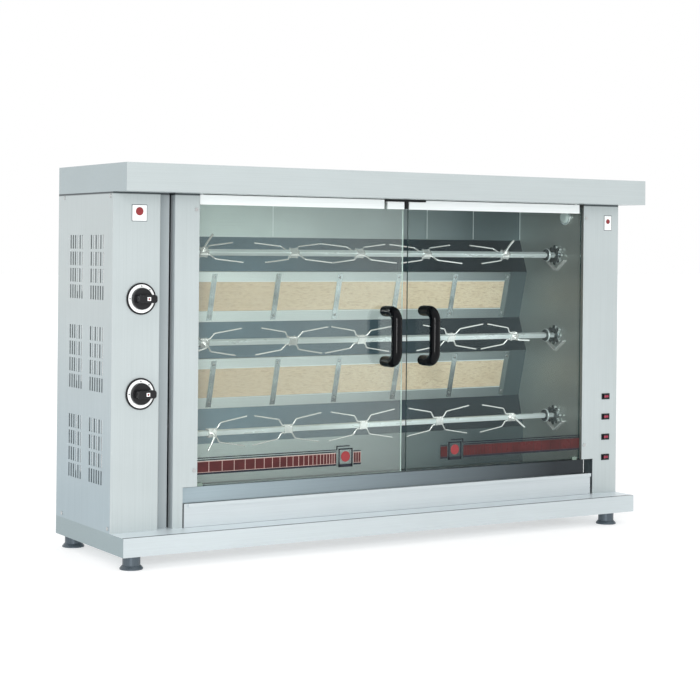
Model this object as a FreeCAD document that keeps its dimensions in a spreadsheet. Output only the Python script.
"""Gas rotisserie oven: three driven spits in front of two tilted rows of ceramic burners.

Design frame, in millimetres: X runs left to right from the cabinet's left side, Y runs from the
hood's front edge to the back, and Z runs up from the underside of the plinth. Every finished
sub-part is then shifted so that the origin is the middle of the oven's footprint on the floor.
"""
import FreeCAD, Part
import math
import os
import re

import Sketcher

DIMENSIONS = {
    # cabinet
    "body_width": 1200, "hood_overhang": 25, "cabinet_depth": 320, "front_setback": 60,
    "plinth_height": 35, "cabinet_top": 663, "hood_thick": 52, "foot_height": 25, "skin": 1.2,
    "screw_head": 1, "inlet_reach": 25,
    # fronts
    "control_width": 97, "control_recess": 15, "recess_right": 121, "control_bend": 3,
    "front_return": 35, "stile_left": 126,
    "opening_left": 177, "opening_right": 1104, "opening_bottom": 111,
    "notch_left": 147, "notch_right": 1134.5,
    # cooking chamber
    "wall_left": 150, "wall_right": 1112, "chamber_floor": 82, "chamber_front": 66,
    "chamber_back": 298, "ceiling_height": 655, "saw_forward": 27, "upper_band_top": 584,
    "lower_band_bottom": 163, "lower_panel_back": 280,
    # burners
    "burner_low": 232.5, "burner_rise": 104, "burner_spacing": 177, "burner_first": 168.6,
    "plaque_pitch": 149.2, "plaque_low": 23.4, "plaque_tall": 62.5, "plaque_count": 6,
    # spits
    "spit_low": 199, "spit_spacing": 176.8, "spit_back": 160, "spit_square": 10,
    "spit_from": 200, "spit_to": 1077, "journal_radius": 5, "tang_square": 8,
    "barrel_radius": 10, "wheel_radius": 22, "fork_wire": 1.5, "fork_sleeve": 13.6,
    "running_gap": 0.05, "slide_gap": 0.3,
    # doors
    "glass_front": 66, "glass_thick": 4, "glass_bottom": 112, "glass_top": 654,
    "door_edge_gap": 2, "door_middle": 646.5, "door_middle_gap": 12, "pivot_radius": 3,
    "left_pivot_inset": 8, "right_pivot_inset": 16, "right_rail_inset": 10,
    "rail_bottom": 643, "rail_top": 661.5, "catch_rail_top": 658, "catch_reach": 40,
    "rail_gap": 8, "rail_depth": 10,
    "handle_radius": 11, "handle_reach": 41, "handle_low": 336, "handle_tall": 101,
    "handle_bend": 20, "handle_apart": 46,
    # tray
    "tray_left": 148, "tray_right": 1128, "tray_bottom": 35.4, "tray_top": 80,
    "tray_body_top": 70, "tray_back": 300,
    # controls
    "knob_along": 57.5, "knob_low": 290, "knob_spacing": 176, "knob_radius": 20,
    "bezel_radius": 29.5, "spindle_radius": 4,
    "switch_along": 1169, "switch_low": 113, "switch_spacing": 44.1,
    "switch_wide": 21, "switch_tall": 12.8,
    # vents in the side panels
    "slot_wide": 5.5, "slot_tall": 26, "slot_pitch": 11.1, "slot_first": 100.5, "slot_low": 119.4,
    "column_pitch": 98.5, "row_pitch": 31.6, "group_pitch": 171.5,
}

SPIT_TURN = (-50, 24, 7)
FORK_PLACES = (
    (235, 438, 594, 760, 966),
    (238, 437, 599.5, 824, 991),
    (256.5, 427.5, 605, 795, 985),
)
CRANKS = (
    ((6, 26, 0), (5, 21, 0)),
    ((-20, 2, -6), (28, 3, 0)),
    ((-16, 4, -30), (12, 20, -15)),
)

doc = FreeCAD.newDocument("rotisserie_oven")
sheet = doc.addObject("Spreadsheet::Sheet", "Sizes")
for row, (alias, value) in enumerate(DIMENSIONS.items(), start=1):
    sheet.set("A%d" % row, alias)
    sheet.set("B%d" % row, str(value))
    sheet.setAlias("B%d" % row, alias)
doc.recompute()

finished = []


def dim(alias):
    """A driving dimension as a number, for shapes that are made with Part's functions."""
    return float(getattr(sheet, alias))


def bind(target, prop, rule):
    """Bind a property to an expression written with the sheet's aliases."""
    target.setExpression(prop, re.sub(r"\b([a-z]\w+)\b", r"Sizes.\1", str(rule)))


def finish(piece, label):
    """Name a sub-part and shift it from the design frame to the oven's own origin."""
    piece.Label = label
    bind(piece, "Placement.Base.x", "(screw_head - body_width - hood_overhang) / 2")
    bind(piece, "Placement.Base.y", "-(cabinet_depth + inlet_reach) / 2")
    bind(piece, "Placement.Base.z", "foot_height")
    finished.append(piece)
    return piece


def box(low, high):
    """A block between two corners, each given as three expressions."""
    block = doc.addObject("Part::Box", "Block")
    for prop, first, last in zip(("Length", "Width", "Height"), low, high):
        bind(block, prop, "(%s) - (%s)" % (last, first))
    for axis, first in zip("xyz", low):
        bind(block, "Placement.Base." + axis, first)
    return block


def rod(start, along, length, radius):
    """A cylinder from a start point along X, Y or Z."""
    turn = {"x": (FreeCAD.Vector(0, 1, 0), 90), "y": (FreeCAD.Vector(1, 0, 0), -90),
            "z": (FreeCAD.Vector(0, 0, 1), 0)}[along]
    piece = doc.addObject("Part::Cylinder", "Rod")
    piece.Placement = FreeCAD.Placement(FreeCAD.Vector(0, 0, 0), FreeCAD.Rotation(*turn))
    bind(piece, "Radius", radius)
    bind(piece, "Height", length)
    for axis, first in zip("xyz", start):
        bind(piece, "Placement.Base." + axis, first)
    return piece


def group(pieces):
    """Several separate solids as one shape."""
    bundle = doc.addObject("Part::Compound", "Group")
    bundle.Links = pieces
    return bundle


def join(pieces):
    """One solid from pieces that meet."""
    union = doc.addObject("Part::MultiFuse", "Union")
    union.Shapes = pieces
    union.Refine = True
    return union


def cut(base, tools):
    """A base with tools taken out of it."""
    result = doc.addObject("Part::Cut", "Cut")
    result.Base = base
    result.Tool = tools[0] if len(tools) == 1 else group(tools)
    return result


def solid_feature(shape):
    """A feature that holds the solids of a shape made with Part's functions, where they lie."""
    feature = doc.addObject("Part::Feature", "Form")
    feature.Shape = Part.makeCompound(shape.Solids)
    return feature


def sketch_on(body, role, offset="0"):
    """A sketch on one of a body's own origin planes, moved along that plane's normal."""
    plane = next(item for item in body.Origin.OriginFeatures if item.Role == role)
    sketch = body.newObject("Sketcher::SketchObject", "Outline")
    sketch.AttachmentSupport = [(plane, "")]
    sketch.MapMode = "FlatFace"
    bind(sketch, "AttachmentOffset.Base.z", offset)
    return sketch


def polygon(sketch, corners):
    """A closed outline whose corners are bound to pairs of expressions."""
    count = len(corners)
    first = sketch.GeometryCount
    scratch = [FreeCAD.Vector(evaluate(x), evaluate(y), 0) for x, y in corners]
    for index in range(count):
        sketch.addGeometry(Part.LineSegment(scratch[index], scratch[(index + 1) % count]))
    for index in range(count):
        following = first + (index + 1) % count
        sketch.addConstraint(Sketcher.Constraint("Coincident", first + index, 2, following, 1))
    for index, (x, y) in enumerate(corners):
        for kind, rule in (("DistanceX", x), ("DistanceY", y)):
            fixed = Sketcher.Constraint(kind, first + index, 1, evaluate(rule))
            number = sketch.addConstraint(fixed)
            bind(sketch, "Constraints[%d]" % number, rule)


def evaluate(rule):
    """The value of an expression of aliases, used to lay out a sketch before it is bound."""
    total = sheet.evalExpression(re.sub(r"\b([a-z]\w+)\b", r"Sizes.\1", str(rule)))
    return float(total)


def new_body(name):
    """An empty PartDesign body."""
    return doc.addObject("PartDesign::Body", name + "_body")


def pad(body, sketch, length):
    """A pad along the sketch's normal."""
    feature = body.newObject("PartDesign::Pad", "Pad")
    feature.Profile = sketch
    bind(feature, "Length", length)
    return feature


def pocket_through(body, sketch):
    """A pocket through the body both ways."""
    feature = body.newObject("PartDesign::Pocket", "Pocket")
    feature.Profile = sketch
    feature.Type = "ThroughAll"
    feature.Midplane = True
    return feature


def rectangle(left, low, wide, tall):
    """The corners of a rectangle as expressions."""
    right = "(%s) + (%s)" % (left, wide)
    high = "(%s) + (%s)" % (low, tall)
    return [(left, low), (right, low), (right, high), (left, high)]


def grid(body, pocket, sketch, steps):
    """Repeat a pocket over a series of steps: (sketch axis, spacing, count) in turn."""
    repeat = body.newObject("PartDesign::MultiTransform", "Repeat")
    repeat.Originals = [pocket]
    patterns = []
    for axis, spacing, count in steps:
        pattern = body.newObject("PartDesign::LinearPattern", "Pattern")
        pattern.Direction = (sketch, [axis])
        pattern.Mode = "Spacing"
        bind(pattern, "Offset", spacing)
        pattern.Occurrences = count
        patterns.append(pattern)
    repeat.Transformations = patterns
    body.Tip = repeat
    return repeat


def rounded_pipe(points, radius, bend):
    """A round bar through points, with each corner rounded to an arc of the bend radius."""
    edges = []
    last = points[0]
    for before, corner, after in zip(points, points[1:], points[2:]):
        into = (corner - before).normalize()
        out = (after - corner).normalize()
        setback = bend * math.tan(into.getAngle(out) / 2)
        start = corner - into * setback
        end = corner + out * setback
        inward = (out - into).normalize()
        reach = math.hypot(bend, setback) - bend
        edges.append(Part.LineSegment(last, start).toShape())
        edges.append(Part.Arc(start, corner + inward * reach, end).toShape())
        last = end
    edges.append(Part.LineSegment(last, points[-1]).toShape())
    heading = points[1] - points[0]
    ring = Part.Wire([Part.makeCircle(radius, points[0], heading)])
    return Part.Wire(edges).makePipeShell([ring], True, False)


# Cabinet: plinth, hood, feet and outer panels.

def base_plinth():
    """A folded tray turned upside down, with a wide bottom flange for the feet."""
    outer = box(("0", "0", "0"), ("body_width", "cabinet_depth", "plinth_height"))
    hollow = box(("skin", "skin", "skin"),
                 ("body_width - skin", "cabinet_depth - skin", "plinth_height - skin"))
    mouth = box(("60", "52", "0"), ("body_width - 100", "cabinet_depth - 52", "skin"))
    holes = [rod((x, y, "-1"), "z", "skin + 2", "5.2") for x, y in FOOT_PLACES]
    finish(cut(outer, [hollow, mouth] + holes), "base_plinth")


FOOT_PLACES = [(x, y) for x in ("27", "body_width - 57") for y in ("24", "cabinet_depth - 24")]


def levelling_feet():
    """Four screw feet: a pad, a neck and a threaded stud that passes the plinth's flange."""
    feet = []
    for x, y in FOOT_PLACES:
        sole = rod((x, y, "-foot_height"), "z", "2.5", "21.5")
        slope = doc.addObject("Part::Cone", "Slope")
        bind(slope, "Radius1", "21.5")
        bind(slope, "Radius2", "17")
        bind(slope, "Height", "5")
        for axis, first in zip("xyz", (x, y, "2.5 - foot_height")):
            bind(slope, "Placement.Base." + axis, first)
        neck = rod((x, y, "7.5 - foot_height"), "z", "foot_height - 7.5", "16.5")
        stud = rod((x, y, "0"), "z", "14", "5")
        feet.append(join([sole, slope, neck, stud]))
    finish(group(feet), "levelling_feet")


def top_hood():
    """A folded top that overhangs the doors, with an open bottom behind its front return."""
    low, high = "cabinet_top", "cabinet_top + hood_thick"
    right = "body_width + hood_overhang"
    outer = box(("0", "0", low), (right, "cabinet_depth", high))
    hollow = box(("skin", "skin", "cabinet_top + skin"),
                 (right + " - skin", "cabinet_depth - skin", high + " - skin"))
    mouth = box(("40", "front_setback + 40", low),
                ("body_width - 40", "cabinet_depth - 20", "cabinet_top + skin"))
    pins = [rod((x, PIVOT_BACK, "cabinet_top - 1"), "z", "skin + 2",
                "pivot_radius + running_gap") for x in PIVOTS]
    finish(cut(outer, [hollow, mouth] + pins), "top_hood")


PIVOTS = ("opening_left + left_pivot_inset", "opening_right - right_pivot_inset")
PIVOT_BACK = "glass_front + glass_thick / 2"


def side_panel(label, inner):
    """A side sheet with three groups of vent slots, each two columns of four rows of six."""
    body = new_body(label)
    outline = sketch_on(body, "YZ_Plane", inner)
    polygon(outline, rectangle("front_setback + skin", "plinth_height",
                               "cabinet_depth - front_setback - 2 * skin",
                               "cabinet_top - plinth_height"))
    pad(body, outline, "skin")
    slot = sketch_on(body, "YZ_Plane", inner)
    polygon(slot, rectangle("slot_first", "slot_low", "slot_wide", "slot_tall"))
    first = pocket_through(body, slot)
    doc.recompute()
    grid(body, first, slot, [("H_Axis", "slot_pitch", 6), ("V_Axis", "row_pitch", 4),
                             ("H_Axis", "column_pitch", 2), ("V_Axis", "group_pitch", 3)])
    finish(body, label)


def rear_panel():
    """The back sheet, with rows of long air slots and holes for the gas inlet and the gland."""
    body = new_body("rear_panel")
    outline = sketch_on(body, "XZ_Plane", "-cabinet_depth")
    polygon(outline, rectangle("0", "plinth_height", "body_width", "cabinet_top - plinth_height"))
    pad(body, outline, "skin")
    slot = sketch_on(body, "XZ_Plane", "-cabinet_depth")
    polygon(slot, rectangle("190", "560", "50", "6"))
    first = pocket_through(body, slot)
    doc.recompute()
    grid(body, first, slot, [("H_Axis", "80", 11), ("V_Axis", "16", 5)])
    inlet = rod(("knob_along", "cabinet_depth - 10", INLET_HEIGHT), "y", "20", "11.2")
    gland = rod((GLAND_ALONG, "cabinet_depth - 10", GLAND_HEIGHT), "y", "20", "8.2")
    finish(cut(body, [inlet, gland]), "rear_panel")


INLET_HEIGHT = "220"
GLAND_ALONG = "body_width - 50"
GLAND_HEIGHT = "110"


def control_panel():
    """The left front sheet with a set-back strip at its right, and two holes for the spindles."""
    body = new_body("control_panel")
    section = sketch_on(body, "XY_Plane", "plinth_height")
    front, back = "front_setback", "front_setback + front_return"
    recess = front + " + control_recess"
    polygon(section, [("0", front), ("control_width", front), ("control_width", recess),
                      ("recess_right", recess), ("recess_right", back),
                      ("recess_right - skin", back), ("recess_right - skin", recess + " + skin"),
                      ("control_width - skin", recess + " + skin"),
                      ("control_width - skin", front + " + skin"), ("0", front + " + skin")])
    sheet_pad = pad(body, section, "cabinet_top - plinth_height")
    doc.recompute()
    corners = {dim("control_width"): dim("control_bend"),
               dim("control_width") - dim("skin"): dim("control_bend") - dim("skin")}
    tip = sheet_pad
    for along, radius in corners.items():
        tip = bend_edge(body, tip, along, radius)
    spindles = [rod(("knob_along", "front_setback - 5", height), "y", "10", "6")
                for height in KNOB_HEIGHTS]
    finish(cut(body, spindles), "control_panel")


def bend_edge(body, tip, along, radius):
    """Round the upright edge of a folded sheet that stands at the front, at one X."""
    front = dim("front_setback")
    names = []
    for number, edge in enumerate(tip.Shape.Edges, start=1):
        where = edge.BoundBox
        upright = where.ZLength > 100 and where.XLength < 0.01 and where.YLength < 0.01
        if upright and abs(where.XMin - along) < 0.01 and where.YMin < front + 2:
            names.append("Edge%d" % number)
    fillet = body.newObject("PartDesign::Fillet", "Bend")
    fillet.Base = (tip, names)
    fillet.Radius = radius
    doc.recompute()
    return fillet


KNOB_HEIGHTS = ("knob_low", "knob_low + knob_spacing")


def left_stile():
    """The post left of the doors: it narrows below the doors, and its left edge is folded back."""
    body = new_body("left_stile")
    outline = sketch_on(body, "XZ_Plane", "-(front_setback + skin)")
    polygon(outline, [("stile_left", "plinth_height"), ("notch_left", "plinth_height"),
                      ("notch_left", "opening_bottom"), ("opening_left", "opening_bottom"),
                      ("opening_left", "cabinet_top"), ("stile_left", "cabinet_top")])
    pad(body, outline, "skin")
    fold = box(("stile_left", "front_setback + skin", "plinth_height"),
               ("stile_left + skin", "front_setback + front_return", "cabinet_top"))
    finish(join([body, fold]), "left_stile")


def right_front_panel():
    """The right front sheet, stepped below the doors, with four switch openings."""
    body = new_body("right_front_panel")
    outline = sketch_on(body, "XZ_Plane", "-(front_setback + skin)")
    polygon(outline, [("notch_right", "plinth_height"), ("body_width", "plinth_height"),
                      ("body_width", "cabinet_top"), ("opening_right", "cabinet_top"),
                      ("opening_right", "opening_bottom"), ("notch_right", "opening_bottom")])
    pad(body, outline, "skin")
    opening = sketch_on(body, "XZ_Plane", "-(front_setback + skin)")
    polygon(opening, rectangle("switch_along - switch_wide / 2 + 1",
                               "switch_low - switch_tall / 2 + 0.9",
                               "switch_wide - 2", "switch_tall - 1.8"))
    first = pocket_through(body, opening)
    doc.recompute()
    grid(body, first, opening, [("V_Axis", "switch_spacing", 4)])
    finish(body, "right_front_panel")


# Cooking chamber.

SPIT_HEIGHTS = ["spit_low + %d * spit_spacing" % number for number in (2, 1, 0)]
BURNER_HEIGHTS = ["burner_low + %d * burner_spacing" % number for number in (1, 0)]


def chamber_walls():
    """The two side walls, bored for the spits' bushes, drive barrels and the gas pipes."""
    left = box(("wall_left", "chamber_front", "chamber_floor"),
               ("wall_left + skin", "chamber_back", "cabinet_top"))
    bores = [rod(("wall_left - 5", "spit_back", height), "x", "10", "7.1")
             for height in SPIT_HEIGHTS]
    pipes = [rod(("wall_left - 5", PIPE_BACK, height + " + burner_rise / 2"), "x", "10", "5")
             for height in BURNER_HEIGHTS]
    finish(cut(left, bores + pipes), "chamber_left_wall")
    right = box(("wall_right", "chamber_front - 2", "chamber_floor"),
                ("wall_right + skin", "chamber_back", "cabinet_top"))
    drives = [rod(("wall_right - 5", "spit_back", height), "x", "10", "barrel_radius + 1")
              for height in SPIT_HEIGHTS]
    finish(cut(right, drives), "chamber_right_wall")


PIPE_BACK = "chamber_back - 7"


def chamber_liner():
    """The saw-toothed back: bands lean forward over each burner row, whose windows are cut out."""
    body = new_body("chamber_liner")
    section = sketch_on(body, "YZ_Plane", "wall_left + skin")
    back, forward = "chamber_back", "chamber_back - saw_forward"
    front_line = [(back, "ceiling_height"), (back, "upper_band_top")]
    for height in BURNER_HEIGHTS:
        front_line.append((forward, height + " + burner_rise"))
        front_line.append((back, height))
    front_line.append(("lower_panel_back", "lower_band_bottom"))
    front_line.append(("lower_panel_back", "chamber_floor + 2"))
    rear_line = [(y + " + skin", z) for y, z in reversed(front_line)]
    polygon(section, front_line + rear_line)
    pad(body, section, "wall_right - wall_left - skin")
    windows = [tilted_box(height, ("-0.4", "-30", "-0.4"),
                          ("plaque_count * plaque_pitch + 0.4", "30", BANK_TALL + " + 0.4"))
               for height in BURNER_HEIGHTS]
    finish(cut(body, windows), "chamber_liner")


BANK_TALL = "burner_face"


def tilted_box(height, low, high):
    """A block in a burner row's own tilted frame: along the row, into its depth, up its face."""
    block = doc.addObject("Part::Box", "Block")
    tilt = math.atan2(dim("saw_forward"), dim("burner_rise"))
    lean = FreeCAD.Rotation(FreeCAD.Vector(1, 0, 0), math.degrees(tilt))
    corner = FreeCAD.Vector(*[tilted_value(rule) for rule in low])
    size = [tilted_value(last) - value for last, value in zip(high, corner)]
    foot = FreeCAD.Vector(dim("burner_first"), dim("chamber_back"), evaluate(height))
    block.Length, block.Width, block.Height = size
    block.Placement = FreeCAD.Placement(foot + lean.multVec(corner), lean)
    return block


def tilted_value(rule):
    """The value of a rule that may use the burner face's length up its slope."""
    face = math.hypot(dim("saw_forward"), dim("burner_rise"))
    return evaluate(rule.replace("burner_face", repr(face)))


def chamber_ceiling():
    """The heat shield under the hood."""
    shield = box(("wall_left + skin", "chamber_front + 12", "ceiling_height"),
                 ("wall_right", "chamber_back", "ceiling_height + skin"))
    finish(group([shield]), "chamber_ceiling")


def front_sill():
    """The cross-member under the doors: a front, a top and a lip that sheds fat into the tray."""
    front = box(("notch_left + 0.5", "front_setback + 4", "tray_top + 1"),
                ("wall_right", "front_setback + 5.2", "opening_bottom - 1"))
    top = box(("wall_left + skin", "front_setback + 5.2", "opening_bottom - 1 - skin"),
              ("wall_right", "front_setback + 30", "opening_bottom - 1"))
    lip = box(("wall_left + skin", "front_setback + 30 - skin", "tray_top + 4"),
              ("wall_right", "front_setback + 30", "opening_bottom - 1 - skin"))
    pins = [rod((x, PIVOT_BACK, "opening_bottom - 4"), "z", "6", "pivot_radius + running_gap")
            for x in PIVOTS]
    finish(cut(join([front, top, lip]), pins), "front_sill")


def burners():
    """Two burner rows: a steel box with six ceramic plaques, held by clamp strips on its face."""
    frames = []
    plaques = []
    for height in BURNER_HEIGHTS:
        case = tilted_box(height, ("0", "-2", "0.5"),
                          ("plaque_count * plaque_pitch", "13", BANK_TALL + " - 0.5"))
        seat = tilted_box(height, ("2", "-2", "plaque_low"),
                          ("plaque_count * plaque_pitch - 2", "10", "plaque_low + plaque_tall"))
        plenum = tilted_box(height, ("6", "9.9", "plaque_low + 4"),
                            ("plaque_count * plaque_pitch - 6", "11.8",
                             "plaque_low + plaque_tall - 4"))
        frames.append(cut(case, [seat, plenum]))
        for number in range(int(dim("plaque_count"))):
            left = "%d * plaque_pitch + 2.3" % number
            plaques.append(tilted_box(height, (left, "-1", "plaque_low + 0.3"),
                                      (left + " + plaque_pitch - 4.6", "9.8",
                                       "plaque_low + plaque_tall - 0.3")))
        for number in range(int(dim("plaque_count")) + 1):
            middle = min(max(number * dim("plaque_pitch"), 6),
                         dim("plaque_count") * dim("plaque_pitch") - 6)
            frames.append(tilted_box(height, ("%f - 6" % middle, "-3.2", "4"),
                                     ("%f + 6" % middle, "-2", BANK_TALL + " - 4")))
    finish(group(frames), "burner_frames")
    finish(group(plaques), "burner_plaques")


# Gas train and drives.

def gas_train():
    """Rear inlet, riser with two taps, and a pipe from each tap to its burner row."""
    axis = dim("knob_along")
    behind = dim("front_setback") + 80
    rear = dim("cabinet_depth") + dim("inlet_reach")
    inlet = evaluate(INLET_HEIGHT)
    riser_top = dim("knob_low") + dim("knob_spacing") + 24
    riser = Part.makeCylinder(9, riser_top - inlet + 20, FreeCAD.Vector(axis, behind, inlet - 20))
    forward = FreeCAD.Vector(0, 1, 0)
    feed = Part.makeCylinder(9, rear - 24 - behind, FreeCAD.Vector(axis, behind, inlet), forward)
    thread = Part.makeCylinder(10.5, 24, FreeCAD.Vector(axis, rear - 24, inlet), forward)
    bore = Part.makeCylinder(7.5, 60, FreeCAD.Vector(axis, rear - 60, inlet), forward)
    solids = [riser.fuse([feed, thread]).cut(bore).removeSplitter()]
    for height, burner in zip(reversed(KNOB_HEIGHTS), BURNER_HEIGHTS):
        tap = evaluate(height)
        front = behind - 48
        body = Part.makeBox(34, 39, 36, FreeCAD.Vector(axis - 17, front, tap - 18))
        spindle = Part.makeCylinder(dim("spindle_radius") + dim("running_gap"), 26,
                                    FreeCAD.Vector(axis, front, tap), forward)
        solids.append(body.cut(spindle))
        level = evaluate(burner) + dim("burner_rise") / 2
        back = evaluate(PIPE_BACK)
        route = [FreeCAD.Vector(axis + 17, front + 24, tap),
                 FreeCAD.Vector(axis + 52, front + 24, tap),
                 FreeCAD.Vector(axis + 52, back, level),
                 FreeCAD.Vector(dim("burner_first") - 0.5, back, level)]
        solids.append(rounded_pipe(route, 4, 14))
    finish(solid_feature(Part.makeCompound(solids)), "gas_train")


def gear_motors():
    """Three gear motors on the right wall, each bored for its drive barrel."""
    motors = []
    for height in SPIT_HEIGHTS:
        case = box(("wall_right + skin", "spit_back - 28", height + " - 30"),
                   ("wall_right + 40", "spit_back + 28", height + " + 34"))
        can = rod(("wall_right + 40", "spit_back", height + " + 6"), "x", "42", "24")
        bore = rod(("wall_right", "spit_back", height), "x", "28", "barrel_radius + running_gap")
        motors.append(cut(join([case, can]), [bore]))
    finish(group(motors), "gear_motors")


def power_gland():
    """The cable gland in the rear panel: a nut, a body and a through bore."""
    nut = rod((GLAND_ALONG, "cabinet_depth", GLAND_HEIGHT), "y", "14", "12")
    body = rod((GLAND_ALONG, "cabinet_depth - 12", GLAND_HEIGHT), "y", "12", "8")
    bore = rod((GLAND_ALONG, "cabinet_depth - 13", GLAND_HEIGHT), "y", "30", "4")
    finish(cut(join([nut, body]), [bore]), "power_gland")


def drive_socket(number, height):
    """A lobed chrome wheel on a barrel, with a square socket for the spit's tang."""
    base = FreeCAD.Vector(dim("wall_right") - 9, dim("spit_back"), evaluate(height))
    across = FreeCAD.Vector(1, 0, 0)
    radius = dim("wheel_radius")
    lobes = []
    for turn in range(8):
        angle = math.radians(turn * 45)
        out = FreeCAD.Vector(0, math.cos(angle), math.sin(angle)) * (radius - 5)
        lobes.append(Part.makeCylinder(5, 7, base + out, across))
    hub = Part.makeCylinder(radius - 6, 9, base - across, across)
    barrel = Part.makeCylinder(dim("barrel_radius"), 36, base, across)
    half = dim("tang_square") / 2 + dim("slide_gap")
    corner = FreeCAD.Vector(-2, -half, -half)
    socket = Part.makeBox(36, 2 * half, 2 * half, corner)
    socket.rotate(FreeCAD.Vector(0, 0, 0), across, SPIT_TURN[number])
    socket.translate(base)
    shape = hub.fuse(lobes + [barrel]).cut(socket).removeSplitter()
    finish(solid_feature(shape), "drive_socket_%d" % (number + 1))


def spit(number, height):
    """A square bar with a round pointed journal on the left and a collar and tang on the right."""
    axis = FreeCAD.Vector(0, dim("spit_back"), evaluate(height))
    across = FreeCAD.Vector(1, 0, 0)
    left, right = dim("spit_from"), dim("spit_to")
    side, tang = dim("spit_square"), dim("tang_square")
    bar = Part.makeBox(right - left, side, side, FreeCAD.Vector(left, -side / 2, -side / 2))
    bar = bar.makeChamfer(1, [edge for edge in bar.Edges if edge.BoundBox.XLength > side])
    square_end = Part.makeBox(28, tang, tang, FreeCAD.Vector(right + 7, -tang / 2, -tang / 2))
    bar.rotate(FreeCAD.Vector(0, 0, 0), across, SPIT_TURN[number])
    square_end.rotate(FreeCAD.Vector(0, 0, 0), across, SPIT_TURN[number])
    tip = dim("wall_left") - 2
    point = Part.makeCone(2, dim("journal_radius"), 3, FreeCAD.Vector(tip - 3, 0, 0), across)
    journal = Part.makeCylinder(dim("journal_radius"), left - tip, FreeCAD.Vector(tip, 0, 0),
                                across)
    neck = Part.makeCylinder(5, 7, FreeCAD.Vector(right, 0, 0), across)
    collar = Part.makeCylinder(14, 4, FreeCAD.Vector(right + 2, 0, 0), across)
    collar = collar.makeFillet(1.5, [edge for edge in collar.Edges if len(edge.Vertexes) == 1])
    shape = bar.fuse([square_end, point, journal, neck, collar])
    shape.translate(axis)
    finish(solid_feature(shape), "spit_%d" % (number + 1))


def fork(number, height, place, seat):
    """A fork on a square sleeve: paired prongs, and a cranked clamp screw on the end ones."""
    side = dim("fork_sleeve")
    hole = dim("spit_square") + 2 * dim("slide_gap")
    sleeve = Part.makeBox(18, side, side, FreeCAD.Vector(-9, -side / 2, -side / 2))
    for start in (-9, 6):
        rim = side + 1.6
        sleeve = sleeve.fuse(Part.makeBox(3, rim, rim, FreeCAD.Vector(start, -rim / 2, -rim / 2)))
    sleeve = sleeve.cut(Part.makeBox(22, hole, hole, FreeCAD.Vector(-11, -hole / 2, -hole / 2)))
    wire = dim("fork_wire")
    seat_height = side / 2 + wire - 0.6
    reaches = {0: (1,), 4: (-1,)}.get(seat, (-1, 1))
    solids = []
    for up in (1, -1):
        prongs = [[(77, 30), (20, 20), (12, seat_height)] for reach in reaches]
        line = [(-8.5 * reaches[0], seat_height)] if len(reaches) == 1 else []
        for reach, prong in zip(reaches, prongs):
            points = [(reach * x, z) for x, z in prong]
            line = points if not line else line + points[::-1]
        corners = [FreeCAD.Vector(x, 0, up * z) for x, z in line]
        solids.append(rounded_pipe(corners, wire, 5))
    shape = sleeve.fuse(solids)
    if seat in (0, 4):
        shape = shape.fuse(clamp_screw(number, seat, side))
    shape.rotate(FreeCAD.Vector(0, 0, 0), FreeCAD.Vector(1, 0, 0), SPIT_TURN[number])
    shape.translate(FreeCAD.Vector(place, dim("spit_back"), evaluate(height)))
    finish(solid_feature(shape), "fork_%d_%d" % (number + 1, seat + 1))


def clamp_screw(number, seat, side):
    """The cranked rod that clamps an end fork, standing on one side of its sleeve."""
    along, outward, up = CRANKS[number][0 if seat == 0 else 1]
    start = FreeCAD.Vector(0, 1 - side / 2, 0)
    elbow = FreeCAD.Vector(0, -side / 2 - 13, 0)
    tip = elbow + FreeCAD.Vector(along, -outward, up)
    boss = Part.makeCylinder(4.5, 5, start, FreeCAD.Vector(0, -1, 0))
    return [boss, rounded_pipe([start, elbow, tip], 2.2, 6)]


def spit_bushes():
    """Three flanged bushes in the left wall that carry the spits' journals."""
    bushes = []
    for height in SPIT_HEIGHTS:
        sleeve = rod(("wall_left - 4", "spit_back", height), "x", "4 + skin", "7")
        flange = rod(("wall_left + skin", "spit_back", height), "x", "4", "12")
        bore = rod(("wall_left - 5", "spit_back", height), "x", "14",
                   "journal_radius + running_gap")
        bushes.append(cut(join([sleeve, flange]), [bore]))
    finish(group(bushes), "spit_bushes")


def chamber_lamp():
    """A round lamp with a domed lens on the right wall, near the ceiling."""
    centre = FreeCAD.Vector(dim("wall_right"), dim("spit_back") - 31, dim("ceiling_height") - 19)
    inward = FreeCAD.Vector(-1, 0, 0)
    ring = Part.makeCylinder(18, 6, centre, inward)
    ring = ring.makeFillet(2, [edge for edge in ring.Edges
                               if edge.BoundBox.XLength < 0.01 and edge.BoundBox.XMin < centre.x - 5])
    lens = Part.makeCylinder(13, 11, centre, inward)
    lens = lens.makeFillet(5, [edge for edge in lens.Edges
                               if edge.BoundBox.XLength < 0.01 and edge.BoundBox.XMin < centre.x - 5])
    finish(solid_feature(ring.fuse(lens)), "chamber_lamp")


# Doors.

DOOR_SPANS = {
    "left": ("opening_left + door_edge_gap", "door_middle - door_middle_gap / 2"),
    "right": ("door_middle + door_middle_gap / 2", "opening_right - door_edge_gap"),
}


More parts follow.
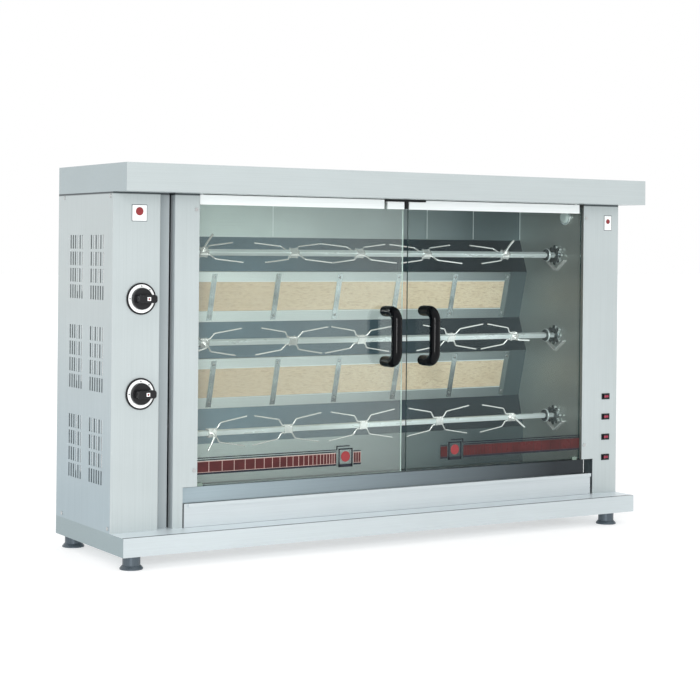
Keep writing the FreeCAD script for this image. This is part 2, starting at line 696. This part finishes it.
def door(side, hand):
    """One frameless glass door: pane, clamped rail and shoe with pivot pins, and bow handle."""
    start, end = DOOR_SPANS[side]
    hinge = start if hand > 0 else end
    free = end if hand > 0 else start
    pivot = PIVOTS[0] if hand > 0 else PIVOTS[1]
    grip = "door_middle - %d * handle_apart" % hand
    back = "glass_front + glass_thick"
    pane = box((start, "glass_front", "glass_bottom"), (end, back, "glass_top"))
    bores = [rod((grip, "glass_front - 1", height), "y", "glass_thick + 2", "4")
             for height in ("handle_low", "handle_low + handle_tall")]
    finish(cut(pane, bores), "door_glass_" + side)

    block = "%s - %d * catch_reach" % (free, hand)
    gap = "%s - %d * rail_gap" % (block, hand) if hand > 0 else block
    rail_end = hinge if hand > 0 else "opening_right - right_rail_inset"
    spans = [sorted((rail_end, gap), key=evaluate) + ["rail_top"],
             sorted((block, free), key=evaluate) + ["catch_rail_top"]]
    front = "%s - rail_depth / 2" % PIVOT_BACK
    rails = []
    for low, high, top in spans:
        rail = box((low, front, "rail_bottom"), (high, front + " + rail_depth", top))
        slot = box((low + " - 1", "glass_front", "rail_bottom - 1"),
                   (high + " + 1", back, "glass_top"))
        rails.append(cut(rail, [slot]))
    pin = rod((pivot, PIVOT_BACK, "rail_top"), "z", "cabinet_top + skin - rail_top",
              "pivot_radius")
    shoe = box((pivot + " - 6", "glass_front - 1.5", "glass_bottom - 1.5"),
               (pivot + " + 6", back + " + 1.5", "glass_bottom + 5"))
    groove = box((pivot + " - 7", "glass_front", "glass_bottom"),
                 (pivot + " + 7", back, "glass_bottom + 6"))
    foot = rod((pivot, PIVOT_BACK, "opening_bottom - 1 - skin"), "z",
               "glass_bottom - 0.5 - opening_bottom + skin", "pivot_radius")
    rail_parts = [join([rails[0], pin]), rails[1]] if hand > 0 else [join(rails + [pin])]
    finish(group(rail_parts + [join([cut(shoe, [groove]), foot])]), "door_fittings_" + side)
    door_handle(side, grip)


def door_handle(side, grip):
    """A bow handle on two studs through the glass, with a washer behind each."""
    along = evaluate(grip)
    low = dim("handle_low")
    high = low + dim("handle_tall")
    front = dim("glass_front")
    reach = front - dim("handle_reach")
    corners = [FreeCAD.Vector(along, front, low), FreeCAD.Vector(along, reach, low),
               FreeCAD.Vector(along, reach, high), FreeCAD.Vector(along, front, high)]
    bow = rounded_pipe(corners, dim("handle_radius"), dim("handle_bend"))
    inward = FreeCAD.Vector(0, 1, 0)
    studs = []
    washers = []
    for height in (low, high):
        studs.append(Part.makeCylinder(3, dim("glass_thick") + 1,
                                       FreeCAD.Vector(along, front - 1, height), inward))
        washers.append(Part.makeCylinder(10, 3, FreeCAD.Vector(along, front + dim("glass_thick"),
                                                               height), inward))
    solids = [bow.fuse(studs)] + washers
    finish(solid_feature(Part.makeCompound(solids)), "door_handle_" + side)


def door_catch():
    """The magnetic catch under the hood where the doors meet, with a stop between them."""
    plate = box(("door_middle - catch_reach - 13.5", "front_setback", "catch_rail_top + 0.8"),
                ("door_middle + catch_reach + 5", "glass_front + 12", "cabinet_top"))
    post = box(("door_middle - catch_reach - 13.5", "glass_front + glass_thick + 1", "rail_bottom"),
               ("door_middle - catch_reach - 6.5", "glass_front + 12", "catch_rail_top + 0.8"))
    stop = box(("door_middle - 3.5", "glass_front - 3", "rail_bottom + 1"),
               ("door_middle + 3.5", "glass_front + 8", "catch_rail_top + 0.8"))
    finish(join([plate, post, stop]), "door_catch")


# Tray, controls and fasteners.

def grease_tray():
    """A folded tray under the spits, with a taller front that carries a folded pull lip."""
    left, right = "tray_left", "tray_right"
    front, back = "front_setback", "tray_back"
    face = box((left, front, "tray_bottom"), (right, front + " + skin", "tray_top"))
    lip = box((left + " + 10", front + " - 3.5", "tray_top - 7"), (right, front, "tray_top"))
    trough = box((left + " + 2", front + " + skin", "tray_bottom"),
                 (right + " - 2", back, "tray_body_top"))
    hollow = box((left + " + 2 + skin", front + " + skin", "tray_bottom + skin"),
                 (right + " - 2 - skin", back + " - skin", "tray_top"))
    finish(cut(join([face, lip, trough]), [hollow]), "grease_tray")


def control_bezels():
    """Ring bezels round the knobs and the frames of the four rocker switches."""
    rings = []
    for height in KNOB_HEIGHTS:
        disc = rod(("knob_along", "front_setback - 3", height), "y", "3", "bezel_radius")
        eye = rod(("knob_along", "front_setback - 4", height), "y", "5", "knob_radius + 1")
        rings.append(cut(disc, [eye]))
    for height in SWITCH_HEIGHTS:
        wide, tall = "switch_wide / 2", "switch_tall / 2"
        flange = block_about("switch_along", height, wide, tall,
                             "front_setback - 1.5", "front_setback")
        walls = block_about("switch_along", height, wide + " - 1.2", tall + " - 1.1",
                            "front_setback", "front_setback + 14")
        window = block_about("switch_along", height, wide + " - 2.2", tall + " - 1.9",
                             "front_setback - 2", "front_setback + 15")
        rings.append(cut(join([flange, walls]), [window]))
    finish(group(rings), "control_bezels")


SWITCH_HEIGHTS = ["switch_low + %d * switch_spacing" % number for number in (3, 2, 1, 0)]


def block_about(along, height, half_wide, half_tall, front, back):
    """A block centred on a point of the front, between two depths."""
    return box(("%s - (%s)" % (along, half_wide), front, "%s - (%s)" % (height, half_tall)),
               ("%s + (%s)" % (along, half_wide), back, "%s + (%s)" % (height, half_tall)))


def rocker(number, height):
    """A rocker with a shallow V face, tipped to its off side."""
    half = dim("switch_wide") / 2 - 3.2
    tall = dim("switch_tall") - 4.4
    outline = [(-half, -5), (0, -3.6), (half, -5), (half, 3), (-half, 3)]
    corners = [FreeCAD.Vector(x, y, -tall / 2) for x, y in outline]
    shape = Part.Face(Part.makePolygon(corners + corners[:1])).extrude(FreeCAD.Vector(0, 0, tall))
    shape.rotate(FreeCAD.Vector(0, 0, 0), FreeCAD.Vector(0, 0, 1), 9)
    shape.translate(FreeCAD.Vector(dim("switch_along"), dim("front_setback") + 2,
                                   evaluate(height)))
    finish(solid_feature(shape), "rocker_%d" % (number + 1))


def knob(label, height):
    """A gas knob with a raised pointer, and the sprung spindle that it turns on."""
    axis = FreeCAD.Vector(dim("knob_along"), 0, evaluate(height))
    inward = FreeCAD.Vector(0, 1, 0)
    front = dim("front_setback")
    radius = dim("knob_radius")
    skirt = Part.makeCylinder(radius, 6, axis + inward * (front - 10), inward)
    skirt = skirt.makeFillet(1.5, [edge for edge in skirt.Edges
                                   if edge.BoundBox.YMax < front - 9])
    start = FreeCAD.Vector(axis.x - 15, front - 25, axis.z - 7.5)
    pointer = Part.makeBox(38, 16, 15, start)
    upright = [edge for edge in pointer.Edges if edge.BoundBox.YLength > 10]
    pointer = pointer.makeFillet(5, upright)
    rim = [edge for edge in pointer.Edges if edge.BoundBox.YMax < front - 24]
    pointer = pointer.makeFillet(2, rim)
    hole = Part.makeCylinder(dim("spindle_radius") + dim("running_gap"), 12,
                             axis + inward * (front - 16), inward)
    finish(solid_feature(skirt.fuse(pointer).cut(hole)), "knob_" + label)
    spindle = Part.makeCylinder(dim("spindle_radius"), 64, axis + inward * (front - 16), inward)
    finish(solid_feature(spindle), "spindle_" + label)


def panel_screws():
    """Pan-head screws: two on each front post and four on each side panel."""
    heads = []
    for along in ("opening_left - 7", "opening_right + 6"):
        for height in ("142", "633"):
            heads.append(rod((along, "front_setback - 1.6", height), "y", "1.6", "3.6"))
    for back in ("front_setback + 11", "cabinet_depth - 30"):
        for height in ("plinth_height + 8", "cabinet_top - 8"):
            heads.append(rod(("-screw_head", back, height), "x", "screw_head", "3.6"))
            heads.append(rod(("body_width", back, height), "x", "screw_head", "3.6"))
    finish(group(heads), "panel_screws")


def build():
    """Make every sub-part."""
    base_plinth()
    levelling_feet()
    top_hood()
    side_panel("left_side_panel", "0")
    side_panel("right_side_panel", "body_width - skin")
    rear_panel()
    control_panel()
    left_stile()
    right_front_panel()
    chamber_walls()
    chamber_liner()
    chamber_ceiling()
    front_sill()
    burners()
    gas_train()
    gear_motors()
    power_gland()
    spit_bushes()
    chamber_lamp()
    for number, height in enumerate(SPIT_HEIGHTS):
        drive_socket(number, height)
        spit(number, height)
        for seat, place in enumerate(FORK_PLACES[number]):
            fork(number, height, place, seat)
    door("left", 1)
    door("right", -1)
    door_catch()
    grease_tray()
    control_bezels()
    for number, height in enumerate(SWITCH_HEIGHTS):
        rocker(number, height)
    knob("lower", KNOB_HEIGHTS[0])
    knob("upper", KNOB_HEIGHTS[1])
    panel_screws()


def check_and_write():
    """Stop on any failed object or bad shape, then write one STEP file per sub-part."""
    doc.recompute()
    for item in doc.Objects:
        if "Invalid" in item.State or "Error" in item.State:
            raise RuntimeError("%s (%s) failed to build" % (item.Label, item.Name))
    for piece in finished:
        if piece.Shape.isNull() or not piece.Shape.isValid():
            raise RuntimeError("%s has no valid shape" % piece.Label)
        if min(solid.Volume for solid in piece.Shape.Solids) <= 0:
            raise RuntimeError("%s has an empty solid" % piece.Label)
    os.makedirs("parts", exist_ok=True)
    for piece in finished:
        piece.Shape.exportStep("parts/%s.step" % piece.Label)
        print("%-22s %3d solids %12.1f mm3" % (piece.Label, len(piece.Shape.Solids),
                                               piece.Shape.Volume))
    print(len(finished), "sub-parts")


build()
check_and_write()
